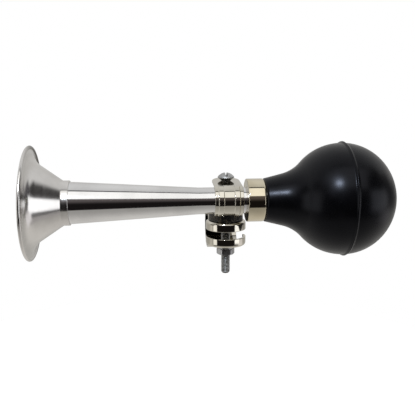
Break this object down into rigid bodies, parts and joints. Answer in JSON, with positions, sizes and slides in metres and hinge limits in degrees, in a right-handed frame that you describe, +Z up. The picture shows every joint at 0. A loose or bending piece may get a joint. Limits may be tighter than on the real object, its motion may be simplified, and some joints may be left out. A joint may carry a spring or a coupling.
{
  "type": "bicycle bulb horn",
  "caption": "Bicycle bulb horn: flared bell, tapered tube, reed, squeezable rubber bulb and a handlebar clamp with a screw, a nut and a rubber pad that the horn swivels on.",
  "frame": {"origin": "centre of the handlebar clamp's bore", "axes": "+X along the handlebar bore and, at rest, along the horn from bell to bulb; +Z up along the clamp screw; the horn lies in front, towards -Y"},
  "size_m": [0.1971, 0.0697, 0.075],
  "materials": {
    "satin_nickel": "satin nickel plate on steel",
    "bright_nickel": "bright warm nickel plate on steel",
    "zinc_steel": "grey zinc plate on steel",
    "brass": "plain brass",
    "black_rubber": "satin black moulded rubber"
  },
  "bodies": {
    "bar_clamp": {"handlebar_strap": "bright_nickel", "swivel_pad": "black_rubber", "clamp_screw": "zinc_steel"},
    "horn": {"bell": "satin_nickel", "horn_tube": "satin_nickel", "horn_strap": "bright_nickel", "bulb_ferrule": "bright_nickel", "reed_socket": "brass", "reed_shallot": "brass", "reed_wedge": "brass", "bulb_neck_half": "black_rubber"},
    "bulb_rear": {"bulb_dome_half": "black_rubber"},
    "tongue": {"reed_tongue": "brass"},
    "washers": {"flat_washer": "zinc_steel", "spring_washer": "zinc_steel"},
    "nut": {"hex_nut": "zinc_steel"}
  },
  "joints": [
    {"name": "horn_swivel", "type": "hinge", "parent": "bar_clamp", "child": "horn", "pos_m": [0, -0.0155, 0], "axis": [0, 0, 1], "range_deg": [-90, 50]},
    {"name": "bulb_squeeze", "type": "slide", "parent": "horn", "child": "bulb_rear", "axis": [-1, 0, 0], "range_m": [0, 0.015], "stiffness_N_per_m": 1200, "deforming": ["bulb_neck_half"]},
    {"name": "reed_beat", "type": "hinge", "parent": "horn", "child": "tongue", "pos_m": [0.0202, -0.026, 0.0225], "axis": [0, 1, 0], "range_deg": [-0.5, 1.9], "stiffness_Nm_per_rad": 0.002, "deforming": ["reed_tongue"]},
    {"name": "nut_travel", "type": "slide", "parent": "bar_clamp", "child": "washers", "axis": [0, 0, -1], "range_m": [0, 0.008]},
    {"name": "nut_spin", "type": "hinge", "parent": "washers", "child": "nut", "pos_m": [0, -0.0155, 0], "axis": [0, 0, -1], "range_deg": [0, 3600]}
  ],
  "couplings": [
    {"joint": "nut_spin", "follows": "nut_travel", "rad_per_m": 7854}
  ]
}
